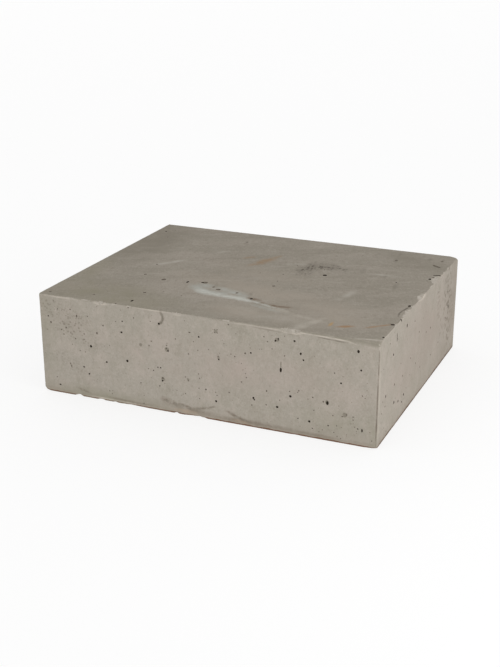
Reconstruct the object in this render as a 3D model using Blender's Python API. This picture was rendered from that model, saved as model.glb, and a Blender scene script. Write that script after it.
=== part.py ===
"""Low concrete plinth: one solid block, cast as a single piece in a rectangular mould.

Metres. +X runs along the long side, +Y towards the back, +Z up, and the origin is the middle of
the underside. The faces are cut by air voids, the arrises are worn back and chipped, and the
corners are broken. Places on a face or along an arris are shares of its length, so that they
stay on it at any size.
"""

import math
import random

import bmesh
import bpy
from mathutils import Matrix, Vector, noise

# Driving dimensions of the block.
LENGTH = 0.400
DEPTH = 0.320
HEIGHT = 0.118

# Arrises. Each is a narrow band of facets whose two lips wander over the faces it joins.
MOULD_ARRIS = 0.0007  # the rounding that the mould leaves, and the least that an arris is worn
STATION = 0.0042  # spacing of the band's points along a worn arris
WEAR_GRAIN = 0.008  # length of one lump of wear
WEAR_SPREAD = 0.55  # how much the wear varies, as a share of its mean
BREAK_SPREAD = 0.30  # the same inside a break
BREAK_SAG = 0.54  # place of the band's middle between arris and lips: 0.5 is flat, more is hollow
SAG_SPREAD = 0.12
CORNER_CLEAR = 0.010  # an arris is unworn at its ends and has its full wear this far from them

# Air voids. The ball that cuts one is sunk by this share of its radius, which leaves a rim a
# little narrower than the hollow behind it.
VOID_SINK = 0.18
VOID_LUMPS = 0.10
FINE_VOID = 0.0032  # voids at least this wide get the finer ball
SMALLEST_VOID = 0.0015
WIDEST_SCATTERED_VOID = 0.0026
FACE_MARGIN = 0.06  # share of a face kept clear of scattered voids along its arrises

# Corners. A broken corner is cut by a wide ellipsoid, which stands off from it by this share of
# each semi-axis and meets the three arrises at the reaches that a row gives, almost flat.
CORNER_STAND_OFF = 0.5
CORNER_LUMPS = 0.02
CORNER_GRAIN = 4.0

CONCRETE_COLOUR = (0.357, 0.323, 0.279, 1.0)
CONCRETE_ROUGHNESS = 0.86

# The larger voids: share along the face, share down it, width and height.
FRONT_VOIDS = (
    (0.094, 0.690, 0.0026, 0.0040),
    (0.161, 0.462, 0.0026, 0.0026),
    (0.261, 0.273, 0.0022, 0.0024),
    (0.276, 0.551, 0.0027, 0.0028),
    (0.379, 0.130, 0.0024, 0.0030),
    (0.386, 0.682, 0.0034, 0.0042),
    (0.402, 0.374, 0.0040, 0.0044),
    (0.546, 0.805, 0.0028, 0.0028),
    (0.556, 0.373, 0.0030, 0.0042),
    (0.656, 0.712, 0.0030, 0.0038),
    (0.717, 0.127, 0.0030, 0.0038),
    (0.734, 0.388, 0.0025, 0.0050),
    (0.724, 0.758, 0.0027, 0.0027),
    (0.761, 0.631, 0.0027, 0.0027),
    (0.789, 0.212, 0.0025, 0.0034),
    (0.815, 0.843, 0.0025, 0.0025),
    (0.864, 0.631, 0.0036, 0.0044),
    (0.943, 0.112, 0.0030, 0.0033),
)
RIGHT_VOIDS = (
    (0.084, 0.585, 0.0026, 0.0028),
    (0.156, 0.263, 0.0028, 0.0028),
    (0.184, 0.754, 0.0033, 0.0034),
    (0.234, 0.797, 0.0030, 0.0030),
    (0.281, 0.856, 0.0028, 0.0028),
    (0.300, 0.800, 0.0027, 0.0030),
    (0.306, 0.127, 0.0030, 0.0044),
    (0.859, 0.220, 0.0036, 0.0050),
    (0.878, 0.436, 0.0034, 0.0036),
    (0.844, 0.534, 0.0026, 0.0026),
)
TOP_VOIDS = (
    (0.962, 0.150, 0.0105, 0.0040),
    (0.267, 0.688, 0.0040, 0.0050),
    (0.386, 0.666, 0.0044, 0.0044),
    (0.451, 0.717, 0.0038, 0.0038),
    (0.341, 0.681, 0.0028, 0.0033),
    (0.272, 0.945, 0.0030, 0.0034),
    (0.684, 0.416, 0.0044, 0.0054),
    (0.194, 0.663, 0.0028, 0.0038),
    (0.578, 0.773, 0.0028, 0.0033),
    (0.023, 0.969, 0.0030, 0.0030),
)
SCATTERED_VOIDS = {"front": 15, "right": 8, "top": 4, "back": 13, "left": 10}

# Mean wear of each arris on its first and its second face, as arrises() names them.
ARRIS_WEAR = {
    "top_front": (0.0011, 0.0009),
    "top_right": (0.0010, 0.0009),
    "top_back": (0.0008, 0.0007),
    "top_left": (0.0008, 0.0007),
    "base_front": (0.0008, 0.0012),
    "base_right": (0.0008, 0.0011),
    "base_back": (0.0011, 0.0013),
    "base_left": (0.0011, 0.0013),
    "front_right": (0.0009, 0.0009),
    "right_back": (0.0010, 0.0010),
    "back_left": (0.0010, 0.0010),
    "left_front": (0.0010, 0.0010),
}

# Breaks in an arris: share along it, length, reach on its first face, reach on its second.
ARRIS_BREAKS = {
    "top_front": (
        (0.100, 0.016, 0.0018, 0.0016),
        (0.205, 0.010, 0.0024, 0.0036),
        (0.432, 0.014, 0.0022, 0.0026),
        (0.762, 0.020, 0.0052, 0.0028),
    ),
    "top_right": (
        (0.165, 0.012, 0.0028, 0.0016),
        (0.235, 0.012, 0.0018, 0.0024),
        (0.297, 0.030, 0.0040, 0.0022),
        (0.370, 0.012, 0.0034, 0.0014),
        (0.475, 0.022, 0.0056, 0.0030),
        (0.610, 0.018, 0.0018, 0.0014),
        (0.700, 0.030, 0.0086, 0.0032),
        (0.745, 0.012, 0.0050, 0.0016),
        (0.835, 0.014, 0.0022, 0.0012),
    ),
    "base_front": (
        (0.115, 0.010, 0.0024, 0.0026),
        (0.190, 0.012, 0.0014, 0.0018),
        (0.300, 0.046, 0.0012, 0.0016),
        (0.425, 0.008, 0.0016, 0.0018),
        (0.486, 0.028, 0.0022, 0.0030),
        (0.880, 0.018, 0.0012, 0.0018),
    ),
    "base_right": ((0.330, 0.020, 0.0016, 0.0018), (0.810, 0.018, 0.0018, 0.0020)),
    "base_back": ((0.220, 0.022, 0.0028, 0.0030), (0.640, 0.028, 0.0022, 0.0026)),
    "base_left": ((0.300, 0.024, 0.0024, 0.0026), (0.760, 0.018, 0.0030, 0.0028)),
}

# Broken corners: the signs of X and Y, "top" or "base", and the reach along X, Y and Z.
BROKEN_CORNERS = (
    (1, 1, "top", 0.0075, 0.0115, 0.0030),
    (1, -1, "top", 0.0110, 0.0060, 0.0028),
    (-1, -1, "base", 0.0085, 0.0070, 0.0055),
    (1, -1, "base", 0.0036, 0.0036, 0.0028),
    (-1, 1, "base", 0.0060, 0.0050, 0.0040),
    (1, 1, "base", 0.0045, 0.0055, 0.0036),
)


def clear_scene():
    """Removes what the startup scene holds."""
    for obj in list(bpy.data.objects):
        bpy.data.objects.remove(obj, do_unlink=True)


def new_collection(name, shown):
    """A collection under the scene. A hidden one holds cutters."""
    made = bpy.data.collections.new(name)
    made.hide_render = not shown
    bpy.context.scene.collection.children.link(made)
    return made


def concrete_material():
    """Grey-buff Portland cement concrete, matt."""
    material = bpy.data.materials.new("cast_concrete")
    material.use_nodes = True
    shader = material.node_tree.nodes["Principled BSDF"]
    shader.inputs["Base Color"].default_value = CONCRETE_COLOUR
    shader.inputs["Roughness"].default_value = CONCRETE_ROUGHNESS
    shader.inputs["Metallic"].default_value = 0.0
    return material


def faces():
    """Each face's corner, its along and down vectors at full length, and its outward normal."""
    right, back, up = Vector((LENGTH, 0, 0)), Vector((0, DEPTH, 0)), Vector((0, 0, HEIGHT))
    low = -(right + back) / 2
    return {
        "front": (low + up, right, -up, Vector((0, -1, 0))),
        "right": (low + right + up, back, -up, Vector((1, 0, 0))),
        "back": (low + right + back + up, -right, -up, Vector((0, 1, 0))),
        "left": (low + back + up, -back, -up, Vector((-1, 0, 0))),
        "top": (low + back + up, right, -back, Vector((0, 0, 1))),
    }


def arrises():
    """Each arris's start, its along vector, and the outward normals of its first and second face."""
    sides = faces()
    upwards = sides["top"][3]
    sequence = ("front", "right", "back", "left")
    found = {}
    for name, following in zip(sequence, sequence[1:] + sequence[:1]):
        corner, along, down, outward = sides[name]
        found[f"top_{name}"] = (corner, along, upwards, outward)
        found[f"base_{name}"] = (corner + down, along, outward, -upwards)
        found[f"{name}_{following}"] = (corner + along, down, outward, sides[following][3])
    return found


def smooth_step(value):
    """Rises from 0 to 1 as the value does, level at both ends."""
    held = min(max(value, 0.0), 1.0)
    return held * held * (3 - 2 * held)


def unevenness(distance, track):
    """Noise from -1 to 1 along an arris. Each track is a different one."""
    return noise.noise(Vector((distance / WEAR_GRAIN, track * 7.3, track * 2.9)))


def reaches(name, track, distance, length):
    """How far an arris is worn back on its first and second face at a distance along it."""
    ends = smooth_step(min(distance, length - distance) / CORNER_CLEAR)
    found = []
    for side in range(2):
        uneven = unevenness(distance, 2 * track + side)
        reach = ARRIS_WEAR[name][side] * (1 + WEAR_SPREAD * uneven)
        for share, span, *depths in ARRIS_BREAKS.get(name, ()):
            apart = abs(distance - share * length) / (span / 2)
            bowl = math.sqrt(max(0.0, 1 - apart**2)) * (1 + BREAK_SPREAD * uneven)
            reach = max(reach, depths[side] * bowl)
        found.append(MOULD_ARRIS + max(0.0, reach - MOULD_ARRIS) * ends)
    return found


def wear_arrises(shape):
    """Moves the points of each arris's band: its lips over the faces, its middle inwards."""
    touching = MOULD_ARRIS * 1.01
    flat = MOULD_ARRIS * 0.01
    for track, (name, (start, along, first, second)) in enumerate(arrises().items()):
        length, direction = along.length, along.normalized()
        for vertex in shape.verts:
            offset = vertex.co - start
            distance = offset.dot(direction)
            on_first, on_second = -offset.dot(second), -offset.dot(first)
            inside = touching < distance < length - touching
            if not inside or max(on_first, on_second) > touching:
                continue
            first_reach, second_reach = reaches(name, track, distance, length)
            sag = BREAK_SAG + SAG_SPREAD * unevenness(distance, track + 0.5)
            if on_second < flat:
                places = first_reach, 0.0
            elif on_first < flat:
                places = 0.0, second_reach
            else:
                places = first_reach * sag, second_reach * sag
            vertex.co = start + direction * distance - second * places[0] - first * places[1]


def lump(points, amount, grain, seed):
    """Moves points in or out along their own direction, as broken stone is uneven."""
    for point in points:
        shift = Vector((seed * 3.1, seed * 1.7, seed * 5.3))
        point *= 1 + amount * noise.noise(point * grain + shift)


def add_cutter(name, place, semi_axes, turn, lumps, grain, subdivisions, seed, collection):
    """A lumpy ellipsoid that a Boolean subtracts."""
    mesh = bpy.data.meshes.new(name)
    shape = bmesh.new()
    bmesh.ops.create_icosphere(shape, subdivisions=subdivisions, radius=1.0)
    lump([vertex.co for vertex in shape.verts], lumps, grain, seed)
    matrix = Matrix.Translation(place) @ turn @ Matrix.Diagonal((*semi_axes, 1.0))
    bmesh.ops.transform(shape, matrix=matrix, verts=shape.verts)
    shape.to_mesh(mesh)
    shape.free()
    cutter = bpy.data.objects.new(name, mesh)
    cutter.hide_render = True
    cutter.display_type = "WIRE"
    collection.objects.link(cutter)


def add_void(face, row, seed, collection):
    """An air void: a ball whose middle lies just under the face."""
    corner, along, down, outward = faces()[face]
    share_along, share_down, width, height = row
    rim = math.sqrt(1 - VOID_SINK**2)
    semi_along, semi_down = width / 2 / rim, height / 2 / rim
    depth = min(semi_along, semi_down)
    place = corner + along * share_along + down * share_down - outward * depth * VOID_SINK
    axes = along.normalized(), down.normalized(), along.cross(down).normalized()
    turn = Matrix(axes).transposed().to_4x4()
    fineness = 2 if width >= FINE_VOID else 1
    add_cutter(
        f"{face}_void_{seed}", place, (semi_along, semi_down, depth), turn,
        VOID_LUMPS, 1.0, fineness, seed, collection,
    )


def add_broken_corner(row, seed, collection):
    """A broken corner: an ellipsoid whose surface meets each arris at its reach."""
    side_x, side_y, level, *depths = row
    upwards = 1 if level == "top" else -1
    corner = Vector((side_x * LENGTH / 2, side_y * DEPTH / 2, HEIGHT if upwards > 0 else 0.0))
    # On an arris the other two axes are each off by the stand-off, and this one adds its reach.
    spread = 1 / (math.sqrt(1 - 2 * CORNER_STAND_OFF**2) - CORNER_STAND_OFF)
    semi_axes = [depth * spread for depth in depths]
    signs = (side_x, side_y, upwards)
    off = Vector([sign * CORNER_STAND_OFF * axis for sign, axis in zip(signs, semi_axes)])
    add_cutter(
        f"broken_corner_{seed}", corner + off, semi_axes, Matrix.Identity(4),
        CORNER_LUMPS, CORNER_GRAIN, 3, seed, collection,
    )


def scattered_voids(count, seed):
    """Rows for a face's smaller voids, scattered the same way each run."""
    chance = random.Random(seed)
    for _ in range(count):
        width = SMALLEST_VOID + (WIDEST_SCATTERED_VOID - SMALLEST_VOID) * chance.random() ** 2
        shares = [chance.uniform(FACE_MARGIN, 1 - FACE_MARGIN) for _ in range(2)]
        yield *shares, width, width


def add_cutters(collection):
    """Every void and every broken corner."""
    placed = {"front": FRONT_VOIDS, "right": RIGHT_VOIDS, "top": TOP_VOIDS}
    for number, (face, count) in enumerate(SCATTERED_VOIDS.items()):
        rows = placed.get(face, ()) + tuple(scattered_voids(count, number + 21))
        for seed, row in enumerate(rows):
            add_void(face, row, seed, collection)
    for seed, row in enumerate(BROKEN_CORNERS):
        add_broken_corner(row, seed, collection)


def add_block(collection, cutters, material):
    """The cast block with its worn arrises, less every cutter."""
    bpy.ops.mesh.primitive_cube_add(size=1.0, location=(0, 0, 0))
    block = bpy.context.active_object
    block.name = block.data.name = "plinth_block"
    block.data.materials.append(material)

    shape = bmesh.new()
    shape.from_mesh(block.data)
    bmesh.ops.scale(shape, vec=(LENGTH, DEPTH, HEIGHT), verts=shape.verts)
    bmesh.ops.translate(shape, vec=(0, 0, HEIGHT / 2), verts=shape.verts)
    for edge in list(shape.edges):
        cuts = max(1, round(edge.calc_length() / STATION) - 1)
        bmesh.ops.subdivide_edges(shape, edges=[edge], cuts=cuts)
    bmesh.ops.bevel(
        shape, geom=shape.edges[:], offset=MOULD_ARRIS, segments=2, profile=0.5,
        affect="EDGES", clamp_overlap=False,
    )
    wear_arrises(shape)
    shape.to_mesh(block.data)
    shape.free()

    breaks = block.modifiers.new("voids_and_corners", "BOOLEAN")
    breaks.operand_type = "COLLECTION"
    breaks.collection = cutters
    breaks.operation = "DIFFERENCE"

    for holder in list(block.users_collection):
        holder.objects.unlink(block)
    collection.objects.link(block)


def main():
    clear_scene()
    parts = new_collection("concrete_plinth", shown=True)
    cutters = new_collection("cutters", shown=False)
    add_cutters(cutters)
    add_block(parts, cutters, concrete_material())


main()
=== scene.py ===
import math
import random

import bmesh
import bpy
import numpy as np
from mathutils import Matrix, Vector, noise


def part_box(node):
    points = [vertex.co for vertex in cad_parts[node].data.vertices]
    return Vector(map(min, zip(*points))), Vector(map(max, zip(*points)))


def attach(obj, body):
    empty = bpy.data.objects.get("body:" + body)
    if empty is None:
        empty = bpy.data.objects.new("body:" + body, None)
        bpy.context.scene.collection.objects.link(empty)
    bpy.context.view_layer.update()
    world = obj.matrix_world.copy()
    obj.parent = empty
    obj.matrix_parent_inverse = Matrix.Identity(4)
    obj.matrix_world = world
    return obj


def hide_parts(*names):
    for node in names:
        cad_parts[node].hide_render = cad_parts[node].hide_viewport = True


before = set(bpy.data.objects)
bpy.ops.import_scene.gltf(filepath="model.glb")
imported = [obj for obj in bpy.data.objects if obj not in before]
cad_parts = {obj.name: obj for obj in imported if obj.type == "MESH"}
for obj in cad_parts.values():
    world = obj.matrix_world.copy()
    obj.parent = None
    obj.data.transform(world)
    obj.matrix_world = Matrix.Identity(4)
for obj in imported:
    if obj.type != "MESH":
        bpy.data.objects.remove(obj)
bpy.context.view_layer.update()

mm = 0.001  # sizes below are in millimetres of the real block
blockLow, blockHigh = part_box("plinth_block")
blockSize = (blockHigh - blockLow) / mm
blockLength, blockDepth, blockHeight = blockSize

# what a user would change about the block
plinth = {
    "gridPitch": 3.6,  # spacing of the points on a face
    "bandCuts": 2,  # each square near an arris is cut this many times each way
    "bandWidth": {  # how far from an arris the finer points reach
        "topRight": 12, "topFront": 8, "baseFront": 17, "baseRight": 8, "frontRight": 8,
    },
    "otherBand": 4,  # the same for every other arris
    "hollow": 0.22, "hollowSpan": 60,  # how far a face dips, and from one high spot to the next
    "ripple": 0.07, "rippleSpan": 9,  # finer unevenness of the faces
    "wearLump": 7,  # length of one lump of wear along an arris
    # how much the lumps vary the wear, the rolled places and the breaks
    "wearSpread": 0.6, "rollSpread": 0.2, "breakSpread": 0.22,
    "bowlPower": 0.7,  # under 1 a break is steep at its ends and flat where it is deepest
    # how full an arris stays: 1 is a flat bevel and 2 is round
    "wornFullness": 1.3, "rolledFullness": 1.9, "brokenFullness": 1.0,
    "cornerRun": 1.6,  # a rounded corner opens its arrises for this many times its reach
    "cornerPower": 1.6,
    "chipGrain": 3.4,  # size of the facets on a broken place
    "chipRelief": 0.32,
    "chipLimits": (-0.12, 0.35), "chipGain": 2.2,  # least and most that a facet lies deeper
    "topTilt": 0.9,  # faces whose normal rises more than this are the trowelled top
    "smoothAngle": 38,  # degrees up to which shading runs on over an edge
    "reachOfWear": 18,  # no wear goes further than this from an arris
    # mean wear of each arris on its first and second face
    "wear": {
        "topFront": (0.7, 0.7), "topRight": (0.6, 0.6), "topBack": (0.6, 0.5), "topLeft": (0.6, 0.5),
        "baseFront": (0.4, 0.7), "baseRight": (0.3, 0.5), "baseBack": (0.8, 1.1), "baseLeft": (0.8, 1.1),
        "frontRight": (0.5, 0.5), "rightBack": (0.8, 0.8), "backLeft": (0.9, 0.9), "leftFront": (0.7, 0.7),
    },
    # arrises that the trowel rolled over: from, fullest, to, reach on the first face, on the second
    "rolls": {"topFront": [(190, 355, 460, 2.6, 2.0)]},
    # breaks: from, deepest, to, reach on the first face, reach on the second
    "breaks": {
        "topFront": [
            (30, 40, 52, 1.2, 1.2), (52, 60, 69, 1, 1.6), (70, 79, 88, 2.6, 3.4), (93, 97, 101, 2.4, 1.8),
            (110, 114, 118, 1.2, 2.2), (166, 172, 181, 1.8, 2.8), (226, 232, 237, 1.2, 2),
            (291, 299, 306, 5, 4.4), (302, 309, 316, 4.4, 4.6), (338, 346, 360, 1.4, 1.4),
        ],
        "topRight": [
            (12, 16, 21, 1.6, 1.2), (50, 56, 61, 2.8, 1.4), (70, 76, 82, 1.6, 2.2), (80, 87, 96, 3.2, 1.8),
            (88, 102, 110, 4.4, 2.2), (114, 119, 124, 3, 1.2), (141, 155, 164, 6, 2.8),
            (184, 194, 204, 1.6, 1.2), (205, 220, 243, 9.2, 3.2), (246, 252, 258, 1.4, 1),
            (263, 270, 277, 2, 1.2),
        ],
        "baseFront": [
            (40, 46, 51, 2.4, 6.2), (69, 75, 80, 1.4, 3.4), (89, 93, 96, 1, 2.2), (98, 112, 144, 0.8, 1.5),
            (167, 170, 173, 2, 5.2), (178, 199, 208, 1.6, 4.2), (300, 312, 322, 0.6, 1),
        ],
        "baseBack": [(77, 88, 99, 2.6, 2.8), (242, 256, 270, 2.0, 2.4), (324, 330, 336, 1.6, 1.8)],
        "baseLeft": [(84, 96, 108, 2.2, 2.4), (234, 243, 252, 2.8, 2.6)],
        "frontRight": [(2, 6, 12, 1.2, 1.4)],
    },
    # rounded corners: side along X, side along Y, level, reach along X, Y and Z
    "corners": [
        (1, 1, 1, 9, 13, 3.4), (1, -1, 1, 14, 6, 3.2), (-1, -1, -1, 7.5, 5.5, 4.4),
        (1, -1, -1, 15, 3, 3.4), (-1, 1, -1, 6, 5, 4), (1, 1, -1, 3, 3, 1.8), (-1, -1, 1, 3, 3, 1.6),
    ],
}


def facePlane(name):  # corner, along, down, outward, and the face's two sizes
    x, y, z = Vector((1, 0, 0)), Vector((0, 1, 0)), Vector((0, 0, 1))
    left, right = -blockLength / 2 * x, blockLength / 2 * x
    near, far, top = -blockDepth / 2 * y, blockDepth / 2 * y, blockHeight * z
    return {
        "front": (left + near + top, x, -z, -y, blockLength, blockHeight),
        "right": (right + near + top, y, -z, x, blockDepth, blockHeight),
        "back": (right + far + top, -x, -z, y, blockLength, blockHeight),
        "left": (left + far + top, -y, -z, -x, blockDepth, blockHeight),
        "top": (left + far + top, x, -y, z, blockLength, blockDepth),
    }[name]


def arrisLines():  # start, along, outward of the first face, outward of the second, length
    up = Vector((0, 0, 1))
    sequence = ("front", "right", "back", "left")
    lines = {}
    for name, following in zip(sequence, sequence[1:] + sequence[:1]):
        corner, along, down, outward, width, _ = facePlane(name)
        title = name.capitalize()
        lines["top" + title] = (corner, along, up, outward, width)
        lines["base" + title] = (corner + down * blockHeight, along, outward, -up, width)
        edge = name + following.capitalize()
        lines[edge] = (corner + along * width, down, outward, facePlane(following)[3], blockHeight)
    return lines


def onlySelect(piece):
    bpy.ops.object.select_all(action="DESELECT")
    piece.select_set(True)
    bpy.context.view_layer.objects.active = piece


def editSelected(piece, kind, chosen, operate):  # select by a rule in edit mode, then run an operator
    onlySelect(piece)
    bpy.ops.object.mode_set(mode="EDIT")
    bpy.ops.mesh.select_mode(type=kind)
    bpy.ops.mesh.select_all(action="DESELECT")
    shape = bmesh.from_edit_mesh(piece.data)
    for element in (shape.edges if kind == "EDGE" else shape.faces):
        if chosen(element):
            element.select_set(True)
    shape.select_flush_mode()
    bmesh.update_edit_mesh(piece.data)
    operate()
    bpy.ops.object.mode_set(mode="OBJECT")


def addGriddedBlock():
    bpy.ops.object.select_all(action="DESELECT")
    bpy.ops.mesh.primitive_cube_add(
        size=1, location=(0, 0, blockHeight / 2 * mm), scale=tuple(blockSize * mm)
    )
    block = bpy.context.active_object
    block.name = block.data.name = "castPlinth"
    bpy.ops.object.transform_apply(location=True, rotation=True, scale=True)
    for axis in range(3):  # the edges along X are cut first, then those along Y, then Z
        cuts = round(blockSize[axis] / plinth["gridPitch"]) - 1
        editSelected(
            block, "EDGE",
            lambda edge: abs((edge.verts[0].co - edge.verts[1].co)[axis]) > 0.5 * mm,
            lambda: bpy.ops.mesh.subdivide(number_cuts=cuts),
        )
    return block


def nearArris(point):
    for name, (start, _, first, second, _) in arrisLines().items():
        offset = point / mm - start
        reach = plinth["bandWidth"].get(name, plinth["otherBand"])
        if -offset.dot(first) < reach and -offset.dot(second) < reach:
            return True
    return False


def refineArrisBands(block):
    editSelected(
        block, "FACE", lambda face: nearArris(face.calc_center_median()),
        lambda: bpy.ops.mesh.subdivide(number_cuts=plinth["bandCuts"]),
    )


def fractal(point, span, seed):  # -1 to 1, lumps of one span with finer ones on them
    place = point / span + Vector((seed * 5.1, seed * 2.3, seed * 7.7))  # another part of the noise
    return noise.noise(place) * 0.65 + noise.noise(place * 2.3) * 0.35


def unevenFaces(block):  # every face but the underside dips a little below the mould's plane
    for vertex in block.data.vertices:
        point = vertex.co / mm
        sides = ((0, blockLength / 2), (1, blockDepth / 2), (2, blockHeight))
        for axis, reach in sides:
            if abs(abs(point[axis]) - reach) > 0.01:  # not on this face
                continue
            dip = 0.5 + 0.5 * fractal(point, plinth["hollowSpan"], axis + 1)
            rough = 0.5 + 0.5 * fractal(point, plinth["rippleSpan"], axis + 4)
            inward = plinth["hollow"] * dip + plinth["ripple"] * rough
            vertex.co[axis] -= math.copysign(inward * mm, point[axis])


def bowl(row, distance):  # 0 at both ends of a row and 1 where it is deepest
    start, deepest, end = row[:3]
    if not start < distance < end:
        return 0.0
    if distance < deepest:
        return ((distance - start) / (deepest - start)) ** plinth["bowlPower"]
    return ((end - distance) / (end - deepest)) ** plinth["bowlPower"]


def arrisWear(name, track, distance, length):  # reach on both faces, fullness, whether broken
    reaches, broken, fullness = [], False, plinth["wornFullness"]
    for side in range(2):
        place = Vector((distance, track * 31.0, side * 17.0))  # so that no two arrises wear alike
        lump = fractal(place, plinth["wearLump"], track)
        reach = plinth["wear"][name][side] * (1 + plinth["wearSpread"] * lump)
        for row in plinth["rolls"].get(name, ()):
            rolled = row[3 + side] * bowl(row, distance) * (1 + plinth["rollSpread"] * lump)
            if rolled > reach:
                reach, fullness = rolled, plinth["rolledFullness"]
        for row in plinth["breaks"].get(name, ()):
            depth = row[3 + side] * bowl(row, distance) * (1 + plinth["breakSpread"] * lump)
            if depth > reach:
                reach, broken = depth, True
        reaches.append(reach)
    if broken:
        fullness = plinth["brokenFullness"]
    return openedAtCorners(name, distance, length, reaches, fullness) + (broken,)


def openedAtCorners(name, distance, length, reaches, fullness):  # an arris widens near a rounded corner
    start, along, first, second, _ = arrisLines()[name]
    for end in (0.0, length):
        corner = start + along * end
        for sideX, sideY, level, *spread in plinth["corners"]:
            place = Vector((sideX * blockLength / 2, sideY * blockDepth / 2, blockHeight * (level > 0)))
            if (corner - place).length > 1:
                continue
            ahead = abs(along.dot(Vector(spread)))
            share = abs(distance - end) / (plinth["cornerRun"] * ahead)
            closeness = max(0.0, 1 - share) ** plinth["cornerPower"]
            for side, across in enumerate((second, first)):
                opened = abs(across.dot(Vector(spread))) * closeness
                if opened > reaches[side]:
                    reaches[side], fullness = opened, plinth["rolledFullness"]
    return reaches[0], reaches[1], fullness


def wornPoint(line, point, onFirst, onSecond, wear):  # where a point goes, or None where nothing is lost
    start, along, first, second, _ = line
    reachFirst, reachSecond, fullness, broken = wear
    u = 1 - max(0.0, onFirst) / reachFirst
    v = 1 - max(0.0, onSecond) / reachSecond
    if u <= 0 or v <= 0 or u**fullness + v**fullness <= 1:
        return None
    shrink = (u**fullness + v**fullness) ** (-1 / fullness)
    grit = fractal(point, plinth["chipGrain"], 9) * plinth["chipRelief"] * broken
    proud, deep = plinth["chipLimits"]
    shrink *= 1 - max(proud, min(deep, grit)) * (1 - shrink) * plinth["chipGain"]
    moved = start + along * (point - start).dot(along)
    return moved - second * reachFirst * (1 - u * shrink) - first * reachSecond * (1 - v * shrink)


def wearArrises(block, brokenSlot):
    mesh = block.data
    points = np.array([vertex.co for vertex in mesh.vertices]) / mm
    centres = np.array([face.center for face in mesh.polygons]) / mm
    for track, (name, line) in enumerate(arrisLines().items()):
        start, along, first, second, length = line
        wears = {}
        for places in (centres, points):
            offsets = places - np.array(start)
            onFirst = -offsets @ np.array(second)
            onSecond = -offsets @ np.array(first)
            distances = offsets @ np.array(along)
            nearEnough = (onFirst < plinth["reachOfWear"]) & (onSecond < plinth["reachOfWear"])
            for index in np.nonzero(nearEnough)[0]:
                distance = round(float(distances[index]), 2)
                if distance not in wears:
                    wears[distance] = arrisWear(name, track, distance, length)
                reaches = float(onFirst[index]), float(onSecond[index])
                moved = wornPoint(line, Vector(places[index]), *reaches, wears[distance])
                if moved is None:
                    continue
                if places is points:
                    mesh.vertices[int(index)].co = moved * mm
                    points[index] = moved
                elif wears[distance][3]:
                    mesh.polygons[int(index)].material_index = brokenSlot


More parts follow.
